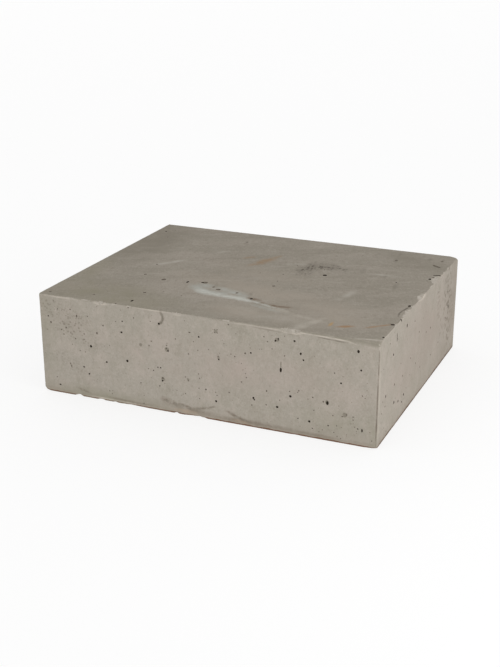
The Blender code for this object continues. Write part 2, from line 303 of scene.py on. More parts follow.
# what a user would change about the air voids and pits
airVoids = {
    "lumps": 0.16,  # how far a void's skin strays from a ball, and the span of its lumps
    "lumpSpan": 0.9,
    # deep voids that read dark: along the face, down it, width, height
    "dark": {
        "front": [
            (64.5, 54.5, 2.8, 2.8), (110.5, 65, 2.8, 2.8), (218.5, 95, 2.3, 2.4), (262.3, 83.6, 2.2, 2.6),
            (263.4, 85.4, 1.8, 2), (293.5, 46.5, 2.5, 5), (304.5, 74.5, 2.7, 2.6), (345.6, 75.2, 2.8, 4),
            (289.7, 89.3, 2.8, 2.2), (326, 99.5, 2.5, 2.5), (377.5, 13, 2.6, 3.2), (381, 33, 2, 2),
            (315.5, 25, 2, 2.9), (318.5, 31.5, 1.9, 1.9), (308.5, 12, 2.2, 2.2), (199, 23.5, 2, 2),
            (151.3, 15.4, 2.2, 2.4), (104.5, 32, 2.6, 2), (84, 70.5, 2.3, 2.1), (54, 81, 1.9, 1.9),
            (60.5, 88.5, 2.1, 2.1), (21, 108, 2.4, 1.8), (360, 50.5, 2, 2), (154, 78.6, 1.8, 1.5),
            (153.7, 81.7, 2, 1.9), (161.6, 45.4, 2.2, 1.8), (159.2, 43.2, 1.2, 2.2), (287.2, 14.8, 1.9, 2.2),
            (290.4, 12.4, 1.5, 2.6), (222.3, 45.8, 1.8, 1.9), (106, 19, 1.7, 1.6), (143, 71, 1.3, 1.3),
            (148.5, 66.5, 1.5, 1.5), (259.5, 32.5, 1.9, 1.9), (384, 99.5, 1.6, 3.6), (347, 100.5, 1.5, 1.5),
        ],
        "right": [
            (98, 15, 2.8, 4.2), (27, 69, 2.6, 3), (59, 89, 3.2, 3.4), (75, 94, 2.8, 3),
            (96, 94.5, 2.6, 3.2), (90, 101, 2.2, 2.4), (281, 51.5, 3.4, 4), (75, 1.2, 3, 2.6),
            (50, 31, 2.6, 2.8), (129, 20, 1.8, 2.4),
        ],
        "top": [
            (13, 34, 2.4, 2.8), (153, 213.4, 3.4, 3.6), (228, 245.6, 3.6, 4.4),
            (273.5, 133, 5, 5.4), (136.4, 218.5, 2.8, 5.6), (396, 264.8, 4.6, 4), (395.6, 201, 3.2, 5.4),
            (390.8, 100, 3.2, 4.4), (109.6, 302.5, 2.8, 5.4), (398.2, 304, 2.2, 3),
        ],
    },
    # shallower voids that read grey
    "dull": {
        "front": [
            (341.2, 74.2, 2, 2.2), (278.5, 17, 1.7, 1.8), (297.5, 30, 1.8, 1.8), (253, 34, 2.2, 2.4),
            (241, 39.5, 1.9, 1.9), (236.5, 37.5, 1.7, 1.7), (221.5, 42.4, 2, 1.8), (234, 4.6, 2.2, 1.8),
            (160, 39, 1.8, 1.6), (141.5, 37, 1.8, 1.9), (138.5, 42.5, 1.8, 1.8), (120.5, 13, 1.7, 1.8),
            (62, 19.5, 1.7, 1.9), (136.5, 70, 1.6, 1.6), (33.5, 36.5, 2.2, 2), (27, 40, 2, 2),
            (56.5, 41, 1.9, 1.8), (56, 47.5, 1.6, 1.6), (45, 48, 1.9, 2), (30, 45, 1.8, 1.8),
            (313.8, 66.6, 1.9, 1.9), (312.6, 68.6, 1.6, 1.6), (303.5, 69, 1.7, 1.7), (329.5, 71.5, 1.8, 1.8),
            (374, 86, 1.7, 1.7), (374, 89.3, 1.6, 1.6), (234, 82, 1.8, 1.8), (248.5, 67.5, 1.8, 1.8),
            (186.5, 45, 1.8, 1.8), (198, 66.5, 1.7, 1.7), (277.5, 73, 1.8, 2.4), (277, 89, 1.7, 2),
            (217.4, 12.4, 1.4, 1.6), (220.8, 12.2, 1.4, 1.6), (217.6, 15.8, 1.6, 1.4),
            (220.8, 15.9, 1.6, 1.4), (362.2, 87.4, 2.2, 1.6), (367, 84.6, 1.5, 3.8),
            (114.2, 1.8, 2.2, 1.8), (48, 21, 2.4, 3.6), (40, 14, 2, 1.8),
            (37.6, 82.6, 2, 2.8), (36.4, 79.6, 1.8, 2.2), (50, 62, 1.6, 1.6),
            (57, 62.5, 1.6, 1.6), (160.5, 36.5, 1.4, 1.2), (126.5, 88.5, 2, 1.8), (185.6, 76.4, 2, 1.8),
            (171, 30, 1.5, 2), (188, 20, 2.6, 1.6), (331, 86, 1.6, 1.6), (352, 88, 1.6, 1.6),
        ],
        "right": [
            (64, 18.5, 2, 2.4), (26, 80, 2.2, 2.6), (89, 70, 2.4, 2.8), (181, 51, 2.6, 2.8),
            (200, 52, 2.6, 3), (293, 41, 2.6, 3), (270, 63, 2.6, 2.8), (160, 86, 2.2, 2.4),
            (240, 84, 2.2, 2.6), (230, 18, 2.4, 2.6), (275, 24, 2.6, 4.6), (275, 31, 2.6, 4),
            (292, 62, 2.4, 3.2), (284, 33, 2.4, 3.2), (58, 68, 3, 3), (118, 60, 2.2, 2.4),
            (140, 74, 2.2, 2.4), (36, 14, 1.8, 2.4), (150, 40, 2.2, 2.6), (206, 88, 2.2, 2.4),
        ],
        "top": [
            (106.5, 220.8, 5.2, 7), (77.5, 212, 3.2, 4.4), (133.5, 40, 2.4, 4), (205, 233, 3.4, 4.4),
            (333.5, 43.3, 3.8, 5), (233.5, 194, 4.2, 4.4), (71.5, 171, 2.6, 3.4), (109, 272, 4, 4),
            (386, 25.7, 3.4, 4), (60, 300, 3, 3), (393, 92, 3, 3.4), (172, 224, 3, 4.4),
            (97.5, 317.6, 2.8, 3), (9, 310, 3.4, 3.4), (180.5, 230, 6, 5), (156, 213, 7, 6),
        ],
    },
    # wide shallow pits: along, down, width, height, depth
    "pits": {
        "front": [
            (160.4, 43.8, 6.2, 6.2, 0.8), (154.5, 79.8, 5.4, 5.8, 0.7), (288.8, 13.4, 5.6, 5, 0.8),
            (219, 14, 5.6, 5.6, 0.6), (128, 43, 5, 5, 0.55), (364.6, 85, 6, 6.6, 0.7),
            (185, 75, 4.4, 4.4, 0.5), (345.2, 74.2, 4.8, 5.4, 0.6), (293.5, 40.5, 1.8, 8, 0.5),
            (30, 41, 5.4, 5, 0.3), (222, 44.2, 3.8, 5.8, 0.4),
        ],
        "right": [(275, 28, 5, 10, 0.4), (281, 50.5, 5, 6.4, 0.5)],
        "top": [(109, 272, 6, 7, 0.3), (393, 262, 9, 5, 0.5)],
    },
    # grooves: kind, face, width, depth, then the places that it passes through
    "grooves": [
        ("pit", "front", 2.6, 0.7, (154.2, 2.6), (156.6, 7.4), (155.4, 12.2), (152.2, 15.4)),
        ("pit", "front", 2, 0.5, (36, 78.6), (38.2, 84.6)),
        ("pit", "front", 3, 0.4, (156, 104), (161, 105.6)),
        ("pit", "front", 2.4, 0.4, (167, 106.6), (172, 107.4)),
        ("pit", "front", 1.8, 0.3, (174, 106.6), (181, 106.8)),
        ("pit", "front", 2.4, 0.4, (184, 107.8), (189, 109.4)),
        ("pit", "front", 2, 0.3, (193, 108.4), (199, 107.2)),
        ("pit", "front", 1.8, 0.3, (202, 106.2), (207, 104.8)),
        ("pit", "front", 1.6, 0.3, (209.6, 104.6), (214.6, 102.4)),
        ("pit", "front", 2, 0.35, (234.5, 105.8), (238.5, 107.4)),
        ("pit", "front", 2.2, 0.4, (241, 108.6), (245, 110)),
        ("pit", "front", 1.8, 0.35, (248, 110.2), (255, 113)),
        ("dull", "top", 4.2, 1.6, (380.6, 45), (389.8, 51.8)),
        ("dark", "top", 2.8, 1.6, (392, 84.6), (398.4, 81.4)),
        ("dark", "right", 1.5, 1, (61, 11.5), (61, 20)),
    ],
    # small voids scattered on each face: how many, smallest, widest
    "scatter": {
        "front": (70, 1, 1.7), "right": (44, 1, 2), "back": (110, 1, 2.6),
        "left": (84, 1, 2.6), "top": (30, 1, 2.4),
    },
    # closer groups: face, along, down, spread along, spread down, how many, widest
    "clusters": [
        ("front", 32, 28, 30, 26, 20, 2.5), ("front", 374, 96, 14, 10, 6, 1.5),
        ("front", 88, 106, 14, 5, 5, 1.4), ("front", 345, 108, 40, 4, 12, 1.5),
        ("front", 172, 92, 24, 10, 8, 1.6),
        ("top", 249, 112, 10, 26, 14, 2), ("top", 272, 100, 14, 8, 7, 1.8),
    ],
    "seed": 11,
    "scatterMargin": 5, "clusterMargin": 4,  # how far both kinds stay from the arrises
    "clusterSmallest": 0.9,
    "clusterPower": 1.5, "scatterPower": 2.5,  # over 1, so that small voids are commoner than wide ones
    "clearance": 0.75,  # distance between two middles, as a share of both widths together
    "tallness": (0.8, 1.3),  # height of a scattered void as a share of its width
    "darkShare": 0.18,  # share of the scattered voids that are deep enough to read dark
    "sinks": {"dark": 0.8, "dull": 0.34},  # depth as a share of the width
    "fineFrom": 2.3,  # wider voids are cut with the ball of more facets
}
voidFaces = ("front", "right", "back", "left", "top")


def addBall(name, subdivisions):
    bpy.ops.object.select_all(action="DESELECT")
    bpy.ops.mesh.primitive_ico_sphere_add(subdivisions=subdivisions, radius=1)
    ball = bpy.context.active_object
    ball.name = name
    return ball


def cutterAt(ball, face, along, down, size, depth, turn, seed, skin):
    corner, alongAxis, downAxis, outward, _, _ = facePlane(face)
    half = min(size) / 2
    radius = (half**2 + depth**2) / (2 * depth)  # the ball that leaves this width and depth
    place = corner + alongAxis * along + downAxis * down - outward * (depth - radius)
    across = alongAxis.cross(downAxis)
    axes = Matrix((alongAxis, downAxis, across)).transposed() @ Matrix.Rotation(turn, 3, "Z")
    sizes = [radius * size[0] / 2 / half, radius * size[1] / 2 / half, radius]
    scale = Matrix.Diagonal(tuple(s * mm for s in sizes) + (1,))
    mesh = ball.data.copy()
    for vertex in mesh.vertices:
        lump = fractal(vertex.co, airVoids["lumpSpan"], seed)
        vertex.co *= 1 + airVoids["lumps"] * lump * min(1.0, half / radius)
    mesh.transform(Matrix.Translation(place * mm) @ axes.to_4x4() @ scale)
    mesh.materials.clear()
    mesh.materials.append(skin)
    cutter = bpy.data.objects.new("voidCutter", mesh)
    bpy.context.scene.collection.objects.link(cutter)
    return cutter


def widthBetween(chance, smallest, widest, power):
    return smallest + (widest - smallest) * chance.random() ** power


def voidRows(face):  # placed voids, then clusters and scatter kept clear of what is there
    chance = random.Random(voidFaces.index(face) + airVoids["seed"])
    rows = [(*row, kind) for kind in ("dark", "dull") for row in airVoids[kind].get(face, ())]
    taken = [(x, y, max(w, h)) for x, y, w, h, _ in rows]
    width, height = facePlane(face)[4:]
    wanted = []
    for name, x, y, spreadX, spreadY, count, widest in airVoids["clusters"]:
        if name == face:
            for _ in range(count):
                place = chance.gauss(x, spreadX / 2), chance.gauss(y, spreadY / 2)
                sizes = airVoids["clusterSmallest"], widest, airVoids["clusterPower"]
                wanted.append((*place, widthBetween(chance, *sizes)))
    count, smallest, widest = airVoids["scatter"][face]
    margin = airVoids["scatterMargin"]
    for _ in range(count):
        place = chance.uniform(margin, width - margin), chance.uniform(margin, height - margin)
        wanted.append((*place, widthBetween(chance, smallest, widest, airVoids["scatterPower"])))
    margin, clearance = airVoids["clusterMargin"], airVoids["clearance"]
    low, high = airVoids["tallness"]
    for x, y, w in wanted:
        inside = margin < x < width - margin and margin < y < height - margin
        if inside and all(math.hypot(x - a, y - b) > (w + c) * clearance for a, b, c in taken):
            kind = "dark" if chance.random() < airVoids["darkShare"] else "dull"
            rows.append((x, y, w, w * chance.uniform(low, high), kind))
            taken.append((x, y, w * high))
    return rows


def grooveRuns():  # each straight run of a groove: kind, then face, middle, size, depth and turn
    for kind, face, width, depth, *places in airVoids["grooves"]:
        for (x0, y0), (x1, y1) in zip(places, places[1:]):
            size = (math.hypot(x1 - x0, y1 - y0) + width, width)
            turn = math.atan2(y1 - y0, x1 - x0)
            yield kind, (face, (x0 + x1) / 2, (y0 + y1) / 2, size, depth, turn)


def apart(cutters):  # groups in which no two cutters touch, because a Boolean takes no overlap in one
    groups = []
    for cutter in cutters:
        corners = np.array([vertex.co for vertex in cutter.data.vertices])
        low, high = corners.min(axis=0), corners.max(axis=0)
        for group in groups:
            if all((low > end).any() or (high < start).any() for start, end, _ in group):
                group.append((low, high, cutter))
                break
        else:
            groups.append([(low, high, cutter)])
    return [[cutter for _, _, cutter in group] for group in groups]


def cutOut(block, cutters):
    bpy.ops.object.select_all(action="DESELECT")
    for cutter in cutters:
        cutter.select_set(True)
    bpy.context.view_layer.objects.active = cutters[0]
    if len(cutters) > 1:
        bpy.ops.object.join()
    joined = bpy.context.active_object
    cut = block.modifiers.new("voids", "BOOLEAN")
    cut.operation, cut.solver, cut.material_mode = "DIFFERENCE", "EXACT", "TRANSFER"
    cut.object = joined
    onlySelect(block)
    bpy.ops.object.modifier_apply(modifier=cut.name)
    bpy.data.objects.remove(joined)


def cutVoids(block, skins):
    plain, fine = addBall("plainBall", 2), addBall("fineBall", 3)
    pits, voids = [], []
    for face in voidFaces:
        for x, y, w, h, depth in airVoids["pits"].get(face, ()):
            pits.append(cutterAt(fine, face, x, y, (w, h), depth, 0, len(pits), skins["pit"]))
        for x, y, w, h, kind in voidRows(face):
            ball = fine if max(w, h) > airVoids["fineFrom"] else plain
            depth = min(w, h) * airVoids["sinks"][kind]
            voids.append(cutterAt(ball, face, x, y, (w, h), depth, 0, len(voids), skins[kind]))
    for kind, run in grooveRuns():
        voids.append(cutterAt(fine, *run, len(voids), skins[kind]))
    for group in apart(pits) + apart(voids):  # pits first, so that a void may lie inside one
        cutOut(block, group)
    for ball in (plain, fine):
        bpy.data.objects.remove(ball)


def srgb(hexColour, alpha=1.0):  # sRGB hex to the linear colour that a shader takes
    parts = [int(hexColour[i:i + 2], 16) / 255 for i in (1, 3, 5)]
    linear = [c / 12.92 if c <= 0.04045 else ((c + 0.055) / 1.055) ** 2.4 for c in parts]
    return (*linear, alpha)


def addNode(tree, kind, inputs, **settings):  # one node with its settings, values and links
    made = tree.nodes.new("ShaderNode" + kind)
    for key, value in settings.items():
        setattr(made, key, value)
    for key, value in inputs.items():
        if isinstance(value, bpy.types.NodeSocket):
            tree.links.new(value, made.inputs[key])
        else:
            made.inputs[key].default_value = value
    return made


bareCement = {"Roughness": 0.9, "Specular IOR Level": 0.25}  # scatters nearly all light, hardly a gloss
cementNoise = {"Detail": 3, "Roughness": 0.6}  # of the clouds and the grit
# how the bands above the base waver: span, then noise from and to and what it divides by
bandNoise = {"Scale": 1 / 11, "Detail": 4}
bandRange = {1: 0.3, 2: 0.7, 3: 0.75, 4: 1.35}

# what a user would change about the concretes; spans and sizes in millimetres
# sand grains are under a millimetre: the finest tones are 1.6 to 2.6, as coarse as they need to show
concretes = {
    # cast against a smooth mould: pale, cloudy and pricked with pinholes
    "formedConcrete": {
        "colour": "#A29B90",
        # tones over the colour: span, stretch along X Y Z, noise where it starts and is full, colour, share
        "tones": [
            (120, (1, 1, 1), 0.42, 0.66, "#979183", 0.36),
            (34, (1, 1, 1), 0.48, 0.66, "#AFA49A", 0.44),
            (15, (1, 1, 0.7), 0.52, 0.70, "#8F897B", 0.40),
            (7, (1, 1, 0.7), 0.50, 0.70, "#B3A99E", 0.36),
            (4, (1, 1, 0.8), 0.54, 0.72, "#867E72", 0.38),
            (2.2, (1, 1, 1), 0.50, 0.70, "#B8B0A6", 0.30),
            (1.6, (1, 1, 0.8), 0.54, 0.70, "#857D71", 0.30),
        ],
        # spacing, size as a share of it, how many, colour, share
        "pinholes": (5.2, 0.12, 0.34, "#6A6256", 0.6),
        "grit": ((1.5, 0.08), (7, 0.14)),  # span and height of the bumps
        # bands up from the base: height, colour, share
        "baseBands": [
            (0, "#64452F", 0.95), (1.5, "#6C4E38", 0.95), (2, "#94887A", 0.5), (4.4, "#877C6E", 0.40),
            (6, "#8F8678", 0.22), (17, "#8F8678", 0),
        ],
    },
    # floated and trowelled by hand: denser, with soft sweeps of the trowel, and darker both in its own
    # colour and as painted shade for the top, which faces less of the light
    "trowelledConcreteAndTopShade": {
        "colour": "#938C80",
        "tones": [
            (150, (1, 1, 1), 0.40, 0.66, "#8A8376", 0.55),
            (60, (0.45, 1, 1), 0.46, 0.64, "#A0978C", 0.58),
            (20, (0.22, 1, 1), 0.50, 0.70, "#857E71", 0.42),
            (9, (0.3, 1, 1), 0.52, 0.72, "#A69E93", 0.40),
            (5, (1, 0.6, 1), 0.52, 0.70, "#81786C", 0.38),
            (2.6, (1, 0.5, 1), 0.50, 0.70, "#A9A196", 0.34),
            (2, (1, 0.4, 1), 0.52, 0.70, "#7E766A", 0.34),
        ],
        "turn": -24,  # direction of the trowel's sweeps in degrees
        "pinholes": (11, 0.06, 0.25, "#5E564B", 0.8),
        "grit": ((2.2, 0.05), (14, 0.12)),
    },
    # broken edges: rough, sandy and a little paler than the skin
    "brokenConcrete": {
        "colour": "#AFA79C",
        "tones": [
            (22, (1, 1, 1), 0.45, 0.65, "#9B9487", 0.5),
            (5, (1, 1, 1), 0.48, 0.66, "#BEB8AE", 0.5),
            (2.4, (1, 1, 1), 0.50, 0.68, "#8A8175", 0.5),
        ],
        "grit": ((1.6, 0.35), (5, 0.4)),
    },
    # floor of a wide shallow pit: cement skin that has lost its shine, with dust in it, a little darker also
    # as painted shade
    "pitDustAndShade": {
        "colour": "#8C8579",
        "tones": [(3.0, (1, 1, 1), 0.45, 0.65, "#736B5F", 0.5)],
        "grit": ((1.6, 0.15), (5, 0.2)),
    },
    # skin of a shallow void, grey with dust and darkened as painted shade for being half hidden from the
    # light
    "voidDustAndShade": {
        "colour": "#6F675C",
        "tones": [(3.0, (1, 1, 1), 0.45, 0.65, "#80786C", 0.5)],
        "grit": ((1.6, 0.1), (5, 0.1)),
    },
    # skin round deep trapped air, holding dirt and darkened further as painted shade: reads almost black
    # from outside
    "airVoidDirtAndShade": {
        "colour": "#40392F",
        "tones": [(3.0, (1, 1, 1), 0.45, 0.65, "#544B40", 0.5)],
        "grit": ((1.6, 0.1), (5, 0.1)),
    },
}

# stains, marks, painted highlights and painted shadow lines of each concrete: what it is, colour, share,
# span of its ragged edge, strokes
# a stroke: face, half width, strength, then the places that it passes through
marks = {
    "trowelledConcreteAndTopShade": [
        ("green shade", "#898370", 0.75, 40, [
            ("top", 40, 0.6, (20, 285), (110, 300)), ("top", 20, 0.4, (8, 200), (14, 260)),
        ]),
        ("warm shade", "#9F9588", 0.7, 40, [
            ("top", 28, 0.8, (170, 205), (290, 235)), ("top", 24, 0.6, (210, 285), (290, 292)),
            ("top", 26, 0.5, (170, 150), (240, 165)), ("top", 26, 0.6, (290, 236), (330, 244)),
            ("top", 22, 0.5, (310, 262), (362, 276)),
        ]),
        ("dull shade", "#7F786B", 0.65, 30, [
            ("top", 40, 1, (14, 30), (20, 120)), ("top", 26, 0.6, (330, 24), (390, 60)),
        ]),
        ("haze", "#B1ABA1", 0.6, 22, [
            ("top", 5, 0.55, (313.6, 214.1), (320.5, 203.7), (323.5, 181.6)),
            ("top", 4, 0.5, (322, 106), (354, 106)), ("top", 4, 0.6, (216, 109), (232, 103)),
            ("top", 4.4, 0.8, (72, 170), (84, 156), (93, 143)), ("top", 5, 0.5, (120, 96), (126, 88)),
            ("top", 14, 0.4, (230, 284), (300, 292)), ("top", 7, 0.5, (312, 290), (306, 312)),
        ]),
        ("smudges", "#766F63", 0.55, 7, [
            ("top", 3, 0.8, (331.6, 36), (333.4, 48)), ("top", 3.2, 0.8, (361, 134), (363, 149)),
            ("top", 3, 0.7, (308, 92), (310, 106)), ("top", 2.4, 0.6, (330, 12), (331, 21)),
            ("top", 2.4, 0.6, (370, 18), (371, 28)), ("top", 2.4, 0.6, (386, 18), (387, 27)),
            ("top", 2.6, 0.6, (339, 104), (341, 117)), ("top", 2, 0.5, (132, 34), (133, 44)),
            ("top", 2.4, 0.6, (220, 226), (222, 236)), ("top", 2.4, 0.6, (171, 214), (173, 222)),
        ]),
        ("porous patch", "#51493F", 0.85, 9, [
            ("top", 8, 0.9, (248, 100), (250, 130)), ("top", 7, 0.8, (242, 112), (244, 134)),
            ("top", 6, 0.8, (256, 94), (259, 114)), ("top", 12, 0.75, (264, 100), (276, 104)),
            ("top", 9, 0.6, (276, 102), (284, 104)),
        ]),
        ("rust", "#917B62", 0.85, 8, [
            ("top", 5, 0.6, (177.6, 129.7), (185.8, 117)), ("top", 7.5, 0.8, (184, 117), (190.5, 99)),
            ("top", 4, 0.6, (190.5, 99), (195.7, 83)), ("top", 4, 0.7, (160, 104), (166, 98.5)),
        ]),
        ("efflorescence haze", "#A9ABA4", 0.8, 14, [
            ("top", 9, 0.6, (152, 229), (160, 236), (170, 243)), ("top", 8, 0.6, (170, 241), (200, 240)),
            ("top", 8, 0.55, (158, 222), (175, 227), (193, 231), (214, 238)),
            ("top", 7, 0.5, (200, 244), (232, 246)), ("top", 5, 0.4, (236, 262), (276, 274)),
        ]),
        ("lime haze", "#B0A89C", 0.6, 12, [
            ("top", 4.4, 0.6, (262, 266), (290, 274)), ("top", 4.4, 0.6, (288, 275), (318, 283)),
            ("top", 5, 0.8, (321, 281), (315, 297)), ("top", 5, 0.8, (316, 294), (309, 313)),
        ]),
        ("efflorescence", "#BBBBB3", 0.9, 6, [
            ("top", 5.8, 0.86, (163, 241), (172, 245), (192, 247.4), (210, 249.4), (228, 251.2)),
            ("top", 2.8, 0.6, (230, 252), (245, 256.6), (262, 262)),
            ("top", 2.6, 0.3, (262, 262), (276, 265.6)),
        ]),
        ("brown film", "#6F5B47", 0.8, 5, [
            ("top", 4.4, 0.8, (226.6, 245), (235, 247)), ("top", 3, 0.45, (238, 250.6), (250, 255.4)),
            ("top", 3.4, 0.8, (256, 257.2), (264, 258.4), (276.4, 256.4)),
        ]),
        ("rust dot", "#A98B62", 0.85, 5, [("top", 2, 1, (336.4, 284.5), (336.4, 292))]),
        ("rust streaks", "#957656", 0.85, 7, [
            ("top", 3.2, 0.9, (348.4, 291.6), (357.8, 286.4)),
            ("top", 2.2, 0.75, (375.4, 282.4), (383.4, 274.8), (393.4, 266)),
        ]),
        ("shadow line", "#5F584D", 0.85, 8, [
            ("top", 1.1, 0.9, (393.8, 237), (392.2, 228), (393, 219), (396, 206)),
        ]),
        # pale lines along worn arrises and chips: rubbed wear, with a painted highlight where the worn lip
        # catches the light
        ("rubbed line", "#B9B1A5", 0.8, 12, [
            ("top", 2.4, 0.8, (374, 317.4), (397, 313.8)), ("right", 2.6, 0.9, (147, -0.4), (166, 1)),
        ]),
    ],
    "formedConcrete": [
        ("pink shade", "#AB9D94", 0.6, 30, [
            ("front", 30, 0.45, (150, 52), (350, 56)), ("right", 44, 0.5, (60, 56), (250, 56)),
        ]),
        ("grey shade", "#968B80", 0.4, 40, [("right", 60, 0.9, (130, 60), (250, 60))]),
        ("green shade", "#8E8A79", 0.7, 24, [
            ("front", 13, 0.5, (4, 16), (6, 104)), ("front", 9, 0.5, (10, 112), (150, 114)),
            ("front", 6, 0.6, (394, 92), (398, 116)), ("front", 14, 0.4, (330, 96), (380, 98)),
        ]),
        ("sandy skin", "#7B7367", 0.7, 12, [
            ("front", 18, 0.8, (16, 14), (54, 40)), ("front", 12, 0.5, (20, 70), (60, 90)),
            ("right", 14, 0.6, (262, 16), (290, 60)),
        ]),
        ("scratches", "#736A5E", 0.9, 14, [
            ("right", 20, 0.9, (272, 20), (282, 66)), ("right", 12, 0.5, (232, 20), (246, 70)),
            ("right", 16, 0.7, (282, 70), (290, 100)),
        ]),
        ("dull end", "#877C6F", 0.5, 26, [
            ("right", 26, 0.7, (304, 10), (304, 104)), ("right", 18, 0.5, (236, 104), (300, 104)),
        ]),
        ("rolled skin", "#8B8578", 0.9, 12, [
            ("front", 1.4, 0.6, (206, 0.6), (250, 0.6), (292, 0.6)),
            ("front", 1.3, 0.8, (54, 0.8), (69, 1)), ("front", 1.8, 0.9, (318, 0.2), (347, 0.6)),
            ("front", 2.4, 0.9, (347, 0.6), (366, 1.2)),
            ("front", 3.2, 1, (368, 1.4), (384, 1.9), (400, 2.4)), ("right", 2.6, 0.7, (0, 2), (5, 1.2)),
        ]),
        # pale lines and spots along worn arrises and chips: rubbed wear, with a painted highlight where the
        # worn lip catches the light
        ("rubbed line", "#C0B7AA", 0.9, 14, [
            ("front", 0.6, 0.7, (240, 1.8), (266, 1.8), (292, 2.2)),
            ("front", 0.7, 0.6, (130, 1.2), (166, 1.2)),
            ("front", 0.7, 1, (313, 2), (330, 2.2), (347, 2.8)),
            ("front", 0.7, 0.9, (347, 2.8), (366, 3.6)),
            ("front", 0.8, 0.6, (366, 3.8), (373, 5.4)), ("front", 0.9, 0.6, (4, 1.6), (50, 1.8)),
            ("front", 1.5, 0.9, (74, 2), (85, 1.8)), ("front", 1.4, 0.8, (169, 1.8), (176, 2)),
            ("front", 2, 0.9, (297, 2.8), (302, 3.2)), ("front", 1.8, 0.9, (306, 3.8), (313, 2.6)),
            ("front", 0.9, 0.6, (62, 115.6), (100, 115.4), (146, 115.6)),
            ("right", 0.9, 0.5, (50, 115), (150, 115), (240, 115)),
            ("right", 2.6, 1, (147, 0.4), (166, 1.8)), ("right", 1.2, 0.7, (206, 0.6), (238, 0.9)),
            ("right", 1.2, 0.25, (10, 1.2), (52, 1.4)), ("right", 1.4, 0.25, (56, 1.6), (120, 2)),
        ]),
        ("shadow line", "#7A7267", 0.8, 12, [
            ("front", 0.7, 0.9, (336, 4), (350, 4.8), (362, 5.4)),
            ("front", 0.7, 0.6, (264, 3.4), (291, 4.4)), ("front", 0.8, 0.5, (300, 5.4), (312, 5.2)),
        ]),
        ("arris stain", "#5E5246", 0.9, 10, [
            ("front", 0.8, 1, (399.3, 43), (399.2, 88)), ("front", 0.7, 0.7, (399.4, 14), (399.4, 40)),
            ("front", 0.8, 0.8, (399.2, 74), (399, 108)),
        ]),
        # a dark brown line along the foot of the right face
        ("base stain", "#5F4A3A", 0.95, 14, [
            ("right", 2.2, 1, (10, 117.4), (60, 117.4)), ("right", 2.6, 1, (60, 117.4), (180, 117.4)),
            ("right", 2.4, 1, (180, 117.4), (310, 117.4)),
        ]),
        # painted highlight: a pale band down the right face beside the front-right arris
        ("arris light", "#B9B1A4", 0.7, 20, [("right", 4, 0.6, (3.5, 20), (3.5, 104))]),
        ("scar", "#776C5F", 0.9, 3, [
            ("front", 3.6, 0.7, (155, 103.6), (162, 105.4)), ("front", 2.6, 0.7, (166, 106.2), (173, 107.4)),
            ("front", 1.8, 0.8, (173, 106.4), (182, 107), (189, 109.6)),
            ("front", 2, 0.7, (192, 108.6), (200, 107.2)),
            ("front", 1.6, 0.7, (200, 106.8), (208, 105), (215, 102.4)),
            ("front", 1.8, 0.8, (233, 105.4), (243.5, 109.4), (256, 113)),
            ("front", 1.8, 0.7, (154.2, 2.6), (156.6, 7.4), (155.4, 12.2), (152.2, 15.4)),
            ("front", 1.6, 0.5, (46, 108.6), (62, 112.2)), ("front", 1.4, 0.5, (86, 112.6), (116, 114.2)),
        ]),
        # a darker band a few millimetres above the front's base
        ("grime", "#7D7366", 0.75, 8, [
            ("front", 3, 0.6, (164, 109.6), (222, 112)), ("front", 2.8, 0.8, (222, 113), (300, 113)),
            ("front", 2.4, 0.6, (300, 114), (352, 114)), ("front", 1.8, 0.5, (96, 114), (144, 115)),
        ]),
        ("clay dust", "#AB9682", 0.6, 5, [
            ("front", 2.4, 0.8, (172, 113.2), (192, 113.6)), ("front", 1.8, 0.6, (240, 113.2), (256, 114.6)),
        ]),
    ],
}

# how every mark is drawn
markStyle = {
    "depth": 4,  # how far into the block a mark shows, where the surface is hollow
    "overlap": 0.6,  # half length of a blob as a share of its run, so that neighbours meet
    "softness": 1.5,  # a blob fades out at this many times its half sizes
    "gain": 1.6,  # over 1, so that the middle of a blob is evenly full
    "raggedNoise": {"Detail": 4, "Roughness": 0.65},
    "raggedRange": {1: 0.35, 2: 0.65, 3: 0.45, 4: 1.25},  # noise from and to, then what it multiplies by
    "fadeFrom": 0.1,  # a mark fainter than this doesn't show
}

# marks made of dots: spacing along X, Y and Z, size of a dot as a share, how much shows between the dots
# the real grains and scratches are finer, and these are as coarse as they need to show
markDots = {
    "porous patch": ((3.8, 9.0, 3.0), 0.5, 0.36),
    "sandy skin": ((3.6, 3.6, 3.2), 0.42, 0.2),
    "scratches": ((2.8, 6.4, 7.0), 0.44, 0.0),
}
dotCore = 0.6  # share of a dot or pinhole that shows in full, inside its soft edge


def mixed(tree, amount, colour, tone):
    return addNode(tree, "Mix", {0: amount, 6: colour, 7: srgb(tone)}, data_type="RGBA").outputs[2]


def strokeBlobs(strokes):  # the ellipses that draw the strokes: middle, turn, half sizes, strength
    for face, halfWidth, strength, *places in strokes:
        corner, alongAxis, downAxis, _, _, _ = facePlane(face)
        ends = places if len(places) > 1 else places * 2
        for (x0, y0), (x1, y1) in zip(ends, ends[1:]):
            middle = corner + alongAxis * (x0 + x1) / 2 + downAxis * (y0 + y1) / 2
            axes = Matrix((alongAxis, downAxis, alongAxis.cross(downAxis))).transposed()
            axes = axes @ Matrix.Rotation(math.atan2(y1 - y0, x1 - x0), 3, "Z")
            halfLength = math.hypot(x1 - x0, y1 - y0) * markStyle["overlap"] + halfWidth
            yield middle, axes.to_euler(), Vector((halfLength, halfWidth, markStyle["depth"])), strength


